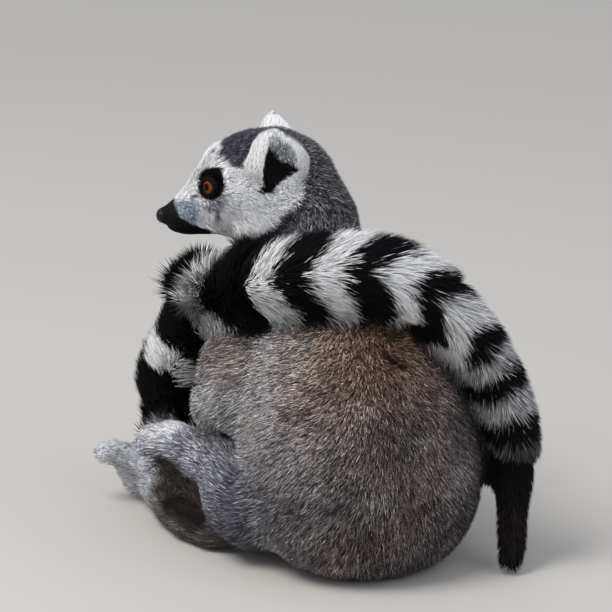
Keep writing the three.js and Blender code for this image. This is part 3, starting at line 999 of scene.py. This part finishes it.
# The tail's pieces, from one place along it to the next, with their tufts.
TAIL_PIECES = [(-1, 190, 6000), (190, 320, 23000), (320, 450, 23000), (450, 560, 19000), (560, 800, 12000)]
run = tail.run[tail_at]
for k, (start, end, count) in enumerate(TAIL_PIECES):
    coat(f"tail_coat_{k + 1}", weights[:, 0] * ((run > start) & (run <= end)), int(count * FEW), tail_hair,
         1.0, seen=0.72, stand=0.05, clump=0.28, tone=0.3, locks=20, spread=0.1)

# The body's pieces, from one height to the next. The hidden belly has fewer tufts.
BODY_PIECES = [(-10, 62), (62, 105), (105, 400)]
height = world[:, 2]
body_share = weights[:, 3] * (0.35 + 0.65 * ease(world[:, 1], -30, 10))
for k, (low, high) in enumerate(BODY_PIECES):
    coat(f"body_coat_{k + 1}", body_share * ((height > low) & (height <= high)), int(25000 * FEW),
         9, 0.6, SPECKLED, tone=0.26, ticked=0.8, clump=0.25, locks=10, stray=0.3)

coat("limb_coat", weights[:, 7:].sum(axis=1), int(25000 * FEW), 8.5, 0.62, SPECKLED,
     tone=0.24, ticked=0.5, clump=0.25, locks=12, stray=0.16)


def foot_hair(p):
    return np.interp(-(p - MIDDLE)[:, 1], [60, 100, 125, 150], [9, 7, 4.5, 3.2])


coat("foot_coat", weights[:, 5] + weights[:, 6], int(12000 * FEW), foot_hair, 0.6, tone=0.2,
     clump=0.4, ticked=0.2)

hairless = np.maximum(np.maximum(bare, 1 - ease(eye_gap, 7.4, 8.8)), inside)
head_share = weights[:, 1] * (1 - ease(hairless, 0.3, 0.7))


def brow(p):
    """How much each point is on the brow, where some hairs stand up in spikes."""
    x, _, z = to_head(p).T
    return ease(z, 7, 12) * ease(x, 34, 40) * (1 - ease(x, 57, 61))


def face_length(p):
    x, _, z = to_head(p).T
    length = np.interp(x, [-20, 10, 35, 50, 62], [7.5, 7.5, 6.2, 4.2, 2.4])
    cheek = ease(-z, 8, 20) * (1 - ease(x, 34, 46))
    return length * (1 + 0.6 * cheek) * (1 + 0.5 * brow(p))


def face_width(p):
    return np.interp(to_head(p)[:, 0], [-20, 20, 45, 62], [0.9, 0.8, 0.62, 0.5])


ahead, above = profile(head_at)
front = np.maximum(ease(ahead, 26, 38), ease(ahead, 5, 20) * (1 - ease(above, -4, 6)))
coat("face_coat", head_share * front, int(25000 * FEW), face_length, face_width, tone=0.26,
     spread=0.25, clump=0.42, locks=20, dark=0.5, ticked=0.3, spiked=lambda p: 0.08 * brow(p))
coat("head_coat", (head_share + weights[:, 4]) * (1 - front), int(24000 * FEW), face_length, 0.65,
     SPECKLED, tone=0.3, ticked=1.0, stray=0.5, locks=8)
coat("ear_coat", weights[:, 2] * (1 - 0.97 * inside), int(9500 * FEW), 6, 0.55, tone=0.24,
     dark=0.6, ticked=0.6, stand=0.1, spiked=lambda p: np.full(len(p), 0.3))

# -------------------- eyes, lids and nose


def in_head(points):
    """Points given in the head's frame, in the model's metres."""
    return from_head(points) * MM


def gaze_frame(s):
    """Right, up and out of the eye on one side, in the head's frame."""
    angle = math.radians(EYE_OUTWARD)
    out = np.array([math.cos(angle), s * math.sin(angle), 0.06])
    out /= np.linalg.norm(out)
    up = np.array([0, 0, 1.0]) - out * out[2]
    up /= np.linalg.norm(up)
    return np.stack([np.cross(up, out), up, out])


def eyeball(name, s, material):
    """The whole ball of the eye on one side, with a bulging front."""
    bm = bmesh.new()
    bmesh.ops.create_uvsphere(bm, u_segments=64, v_segments=48, radius=1)
    at = np.array([v.co for v in bm.verts])
    tilt = np.degrees(np.arccos(np.clip(at[:, 2], -1, 1)))
    # The clear front of the eye bulges a little.
    radius = EYE_RADIUS - 0.25 + 0.75 * np.clip(1 - (tilt / 40) ** 2, 0, 1)
    points = (at * radius[:, None]) @ gaze_frame(s) + EYE_PLACE * (1, s, 1)
    for v, p in zip(bm.verts, in_head(points)):
        v.co = p
    bmesh.ops.recalc_face_normals(bm, faces=bm.faces)
    mesh = mesh_from(bm, name)
    value_layer(mesh, "tilt", tilt / 90)
    spoke = np.arctan2(at[:, 1], at[:, 0])
    value_layer(mesh, "spoke", 0.5 + 0.5 * np.sin(spoke * 23) * np.sin(spoke * 7 + 0.7))
    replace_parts(finished(name, mesh, material), name.replace("ball", ""))


# The opening between the lids: half its angle across, above and below, and how full its corners are.
OPENING_ACROSS, OPENING_HIGH, OPENING_POWER = 36, (27, 29), 1.7


def lids(name, s, material):
    """The bare rim round the eye: an almond opening in a shell that lies on the ball."""
    bm = bmesh.new()
    bmesh.ops.create_grid(bm, x_segments=72, y_segments=12, size=0.5)
    at = np.array([v.co for v in bm.verts])
    angle = (at[:, 0] + 0.5) * 2 * math.pi
    k = at[:, 1] + 0.5
    across, upward = np.cos(angle), np.sin(angle)
    high = np.where(upward > 0, *OPENING_HIGH)
    power = OPENING_POWER
    inner = (np.abs(across / OPENING_ACROSS) ** power + np.abs(upward / high) ** power) ** (-1 / power)
    tilt = np.radians(inner + (86 - inner) * k)
    thick = 0.25 + 1.0 * np.sin(math.pi * np.clip(k * 1.6 + 0.12, 0, 1)) ** 0.7 - 1.6 * ease(k, 0.45, 1)
    crease = -0.35 * np.exp(-(((k - 0.33) / 0.05) ** 2))
    radius = EYE_RADIUS + thick + crease
    ball = np.stack([np.sin(tilt) * across, np.sin(tilt) * upward, np.cos(tilt)], axis=1) * radius[:, None]
    points = ball @ gaze_frame(s) + EYE_PLACE * (1, s, 1)
    for v, p in zip(bm.verts, in_head(points)):
        v.co = p
    bmesh.ops.remove_doubles(bm, verts=bm.verts, dist=1e-5)
    bmesh.ops.recalc_face_normals(bm, faces=bm.faces)
    middle = Vector(in_head(EYE_PLACE * (1, s, 1)))
    face = bm.faces[0]
    if face.normal.dot(face.calc_center_median() - middle) < 0:
        bmesh.ops.reverse_faces(bm, faces=bm.faces)
    bmesh.ops.solidify(bm, geom=bm.faces[:], thickness=0.0005)
    bmesh.ops.recalc_face_normals(bm, faces=bm.faces)
    finished(name, mesh_from(bm, name), material)


eye, lid_skin = eye_finish(), plain_finish("lid_skin", 0.7, linear(LEATHER), 0.08)
for name, s in (("left", 1), ("right", -1)):
    eyeball(f"eyeball_{name}", s, eye)
    lids(f"lids_{name}", s, lid_skin)

NOSE_PLACE = np.array([75.0, 0.0, -21.0])
NOSE_HALVES = (4.4, 5.6, 4.9)


def nose_pad():
    """The pad on the tip of the nose, with two nostrils and a groove below them."""
    bm = bmesh.new()
    bmesh.ops.create_uvsphere(bm, u_segments=56, v_segments=40, radius=1)
    at = np.array([v.co for v in bm.verts])
    x, y, z = at.T
    ahead = x > 0
    groove = np.exp(-((y / 0.09) ** 2)) * (1 - ease(z, -0.5, 0.35))
    swell = -0.6 * groove
    for s in (1, -1):
        # The nostrils curl outwards and down.
        curl = z + 0.12 + 0.35 * (np.abs(y) - 0.4)
        swell -= 1.7 * np.exp(-(((y - s * 0.42) / 0.17) ** 2 + (curl / 0.15) ** 2))
        swell += 0.55 * np.exp(-(((y - s * 0.6) / 0.2) ** 2 + ((z - 0.12) / 0.25) ** 2))
    shape = at * NOSE_HALVES + at * (swell * ahead)[:, None]
    for v, p in zip(bm.verts, in_head(shape + NOSE_PLACE)):
        v.co = p
    bmesh.ops.recalc_face_normals(bm, faces=bm.faces)
    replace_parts(finished("nose_pad", mesh_from(bm, "nose_pad"), nose_finish()), "nose")


nose_pad()

# -------------------- stage

floor_bm = bmesh.new()
bmesh.ops.create_grid(floor_bm, x_segments=2, y_segments=2, size=6)
floor_mesh = mesh_from(floor_bm, "floor")
floor_mesh.materials.append(plain_finish("floor", 0.8, (0.52, 0.5, 0.47), 0.5))
floor = bpy.data.objects.new("floor", floor_mesh)
bpy.context.scene.collection.objects.link(floor)

# Metres and degrees. The camera looks at a place given rightwards and upwards from the middle.
AZIMUTH, ELEVATION, DISTANCE = 150, 18, 3.5
LOOKS_RIGHT, LOOKS_UP = -0.02294, 0.1488
SEEN_ACROSS = 0.37944
SENSOR = 36
camera = bpy.data.objects.new("camera", bpy.data.cameras.new("camera"))
bpy.context.scene.collection.objects.link(camera)
bpy.context.scene.camera = camera
azimuth, elevation = math.radians(AZIMUTH), math.radians(ELEVATION)
level_way = Vector((math.sin(azimuth), -math.cos(azimuth), 0))
back_way = level_way * math.cos(elevation) + Vector((0, 0, math.sin(elevation)))
right_way = Vector((math.cos(azimuth), math.sin(azimuth), 0))
up_way = back_way.cross(right_way)
target = right_way * LOOKS_RIGHT + up_way * LOOKS_UP + Vector(MIDDLE) * MM
camera.matrix_world = Matrix((right_way, up_way, back_way)).transposed().to_4x4()
camera.matrix_world.translation = target + back_way * DISTANCE
camera.data.sensor_width = SENSOR
camera.data.lens = SENSOR * DISTANCE / SEEN_ACROSS
camera.data.clip_end = 50


def area_light(name, place, size, power, colour):
    """A round soft light that faces the middle of the body."""
    data = bpy.data.lights.new(name, "AREA")
    data.shape = "DISK"
    data.size = size
    data.energy = power
    data.color = colour
    lamp = bpy.data.objects.new(name, data)
    bpy.context.scene.collection.objects.link(lamp)
    lamp.location = place
    lamp.rotation_euler = (Vector((0, 0, 0.13)) - Vector(place)).to_track_quat("-Z", "Y").to_euler()


key_place = target - 0.9 * right_way + 0.7 * back_way + Vector((0, 0, 1.6))
fill_place = target + 1.4 * right_way + 1.2 * back_way + Vector((0, 0, 0.8))
area_light("key", key_place, 1.2, 36, (1, 0.98, 0.96))
area_light("fill", fill_place, 1.6, 9, (0.94, 0.97, 1))

studio = bpy.data.worlds.new("studio")
studio.use_nodes = True
studio.node_tree.nodes["Background"].inputs["Color"].default_value = (0.9, 0.93, 1, 1)
studio.node_tree.nodes["Background"].inputs["Strength"].default_value = 0.62
bpy.context.scene.world = studio
bpy.context.scene.view_settings.view_transform = "Standard"
